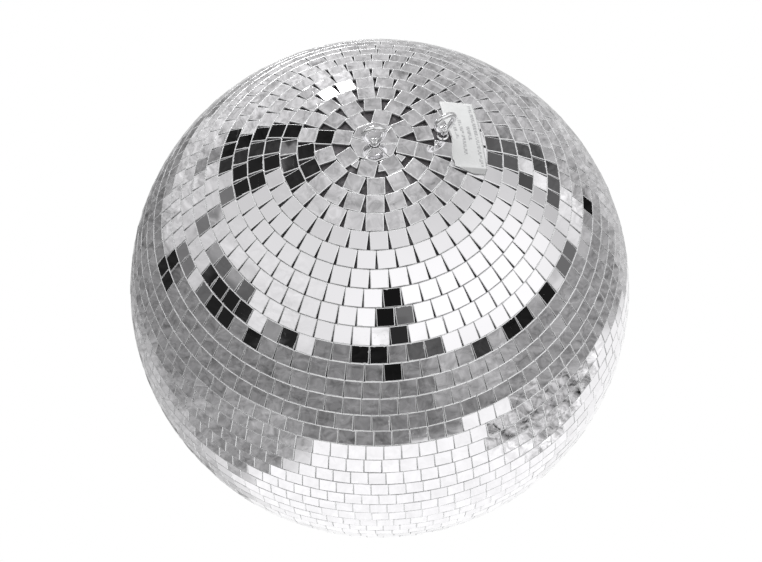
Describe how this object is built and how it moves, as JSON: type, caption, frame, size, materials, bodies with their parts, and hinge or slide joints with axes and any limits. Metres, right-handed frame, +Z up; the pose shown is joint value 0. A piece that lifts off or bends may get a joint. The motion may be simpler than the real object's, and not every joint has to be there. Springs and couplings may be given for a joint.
{
  "type": "mirror ball",
  "caption": "Round ball covered in rows of flat square mirror tiles, with a hanging eye on its pole and a second eye for a safety wire; it turns to scatter spots of light.",
  "frame": {"origin": "the inside top of the hanging eye's loop, where a hook or motor ring bears", "axes": "+Z up along the ball's axis through its poles, out of the hanging eye; +X towards the side of the safety eye; +Y away from the viewer"},
  "size_m": [0.3012, 0.3012, 0.3148],
  "materials": {
    "mirror_glass": "silvered float glass cut into small squares, bright polished faces, paler ground edges",
    "core": "dark moulded plastic, dull, seen only in the gaps between tiles",
    "eye_steel": "bright zinc-plated steel wire and threads",
    "plate_steel": "plain pressed steel sheet",
    "label_film": "matt white adhesive label with faint grey bars in place of print"
  },
  "bodies": {
    "eye": {"hanging_eye": "eye_steel", "hanging_eye_washer": "eye_steel", "hanging_eye_nut": "eye_steel"},
    "ball": {"upper_core": "core", "lower_core": "core", "backing_plate": "plate_steel", "safety_eye": "eye_steel", "safety_eye_nut": "eye_steel", "warning_label": "label_film", "bottom_mirror": "mirror_glass", "mirror_row_01": "mirror_glass", "mirror_row_02": "mirror_glass", "mirror_row_03": "mirror_glass", "mirror_row_04": "mirror_glass", "mirror_row_05": "mirror_glass", "mirror_row_06": "mirror_glass", "mirror_row_07": "mirror_glass", "mirror_row_08": "mirror_glass", "mirror_row_09": "mirror_glass", "mirror_row_10": "mirror_glass", "mirror_row_11": "mirror_glass", "mirror_row_12": "mirror_glass", "mirror_row_13": "mirror_glass", "mirror_row_14": "mirror_glass", "mirror_row_15": "mirror_glass", "mirror_row_16": "mirror_glass", "mirror_row_17": "mirror_glass", "mirror_row_18": "mirror_glass", "mirror_row_19": "mirror_glass", "mirror_row_20": "mirror_glass", "mirror_row_21": "mirror_glass", "mirror_row_22": "mirror_glass", "mirror_row_23": "mirror_glass", "mirror_row_24": "mirror_glass", "mirror_row_25": "mirror_glass", "mirror_row_26": "mirror_glass", "mirror_row_27": "mirror_glass", "mirror_row_28": "mirror_glass", "mirror_row_29": "mirror_glass", "mirror_row_30": "mirror_glass", "mirror_row_31": "mirror_glass", "mirror_row_32": "mirror_glass", "mirror_row_33": "mirror_glass", "mirror_row_34": "mirror_glass", "mirror_row_35": "mirror_glass", "mirror_row_36": "mirror_glass", "mirror_row_37": "mirror_glass", "mirror_row_38": "mirror_glass", "mirror_row_39": "mirror_glass", "mirror_row_40": "mirror_glass", "mirror_row_41": "mirror_glass", "mirror_row_42": "mirror_glass", "mirror_row_43": "mirror_glass", "mirror_row_44": "mirror_glass", "mirror_row_45": "mirror_glass", "top_mirror_1": "mirror_glass", "top_mirror_2": "mirror_glass", "top_mirror_3": "mirror_glass", "top_mirror_4": "mirror_glass", "top_mirror_5": "mirror_glass"}
  },
  "joints": [
    {"name": "ball_spin", "type": "hinge", "parent": "eye", "child": "ball", "pos_m": [0, 0, 0], "axis": [0, 0, 1], "continuous": true}
  ]
}
